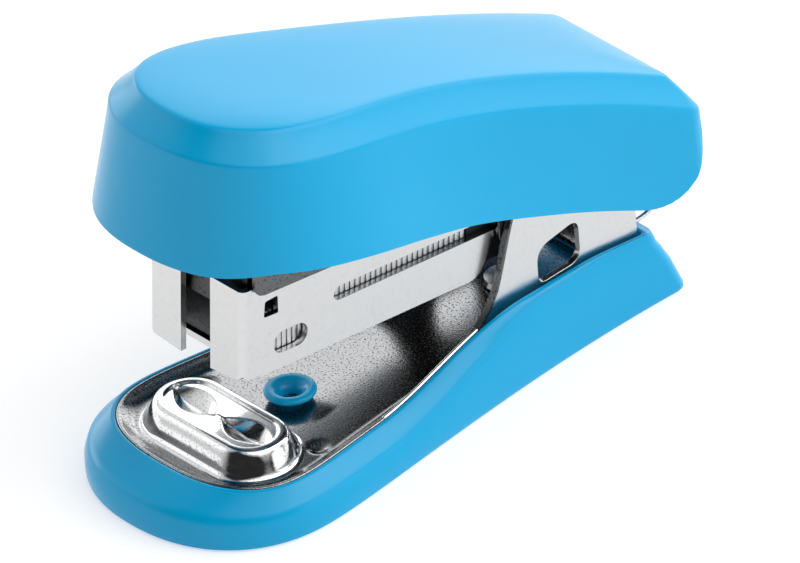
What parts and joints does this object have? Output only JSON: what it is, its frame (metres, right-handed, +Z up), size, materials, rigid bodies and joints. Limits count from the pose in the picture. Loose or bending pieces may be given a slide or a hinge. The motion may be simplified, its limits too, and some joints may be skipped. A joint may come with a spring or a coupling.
{
  "type": "stapler",
  "caption": "Small half-strip desk stapler: pressed steel frame, staple magazine and driver between two moulded shells, shown open.",
  "frame": {"origin": "middle of the stapler's length and width, on the surface it stands on", "axes": "+X across the stapler to its left seen from its front, +Y from the anvil end to the hinge end, +Z up"},
  "size_m": [0.0314, 0.0732, 0.0474],
  "materials": {
    "blue_plastic": "satin gloss moulded",
    "nickel_steel": "bright nickel plated",
    "chrome_steel": "chrome plated",
    "dark_steel": "dark chrome plated",
    "spring_steel": "drawn wire",
    "staple_wire": "zinc plated wire",
    "black_acetal": "moulded",
    "white_nylon": "moulded"
  },
  "bodies": {
    "base": {"base_shell": "blue_plastic", "base_plate": "chrome_steel", "plate_rivet_front": "blue_plastic", "plate_rivet_rear": "nickel_steel", "pivot_pin": "nickel_steel", "pivot_ring_left": "dark_steel", "pivot_ring_right": "dark_steel", "pivot_bush": "white_nylon", "lift_spring": "spring_steel"},
    "magazine": {"magazine": "nickel_steel", "staple_rail": "chrome_steel", "staple_strip": "staple_wire", "spring_rod": "spring_steel", "rod_stop": "dark_steel"},
    "pusher": {"pusher": "black_acetal", "pusher_spring": "spring_steel"},
    "handle": {"handle_shell": "blue_plastic", "carrier": "dark_steel", "driver_blade": "chrome_steel", "driver_rivet_left": "nickel_steel", "driver_rivet_right": "nickel_steel", "handle_spring": "spring_steel"}
  },
  "joints": [
    {"name": "magazine_hinge", "type": "hinge", "parent": "base", "child": "magazine", "pos_m": [0, 0.0223, 0.0185], "axis": [1, 0, 0], "range_deg": [0, 9.4], "stiffness_Nm_per_rad": 0.6, "springref_deg": -6.88, "deforming": ["lift_spring"]},
    {"name": "handle_hinge", "type": "hinge", "parent": "magazine", "child": "handle", "pos_m": [0, 0.0223, 0.0185], "axis": [1, 0, 0], "range_deg": [-45, 8.6], "deforming": ["handle_spring"]},
    {"name": "pusher_slide", "type": "slide", "parent": "magazine", "child": "pusher", "axis": [0, 0.9962, -0.0872], "range_m": [0, 0.006], "stiffness_N_per_m": 150, "springref_m": -0.01, "deforming": ["pusher_spring"]}
  ]
}
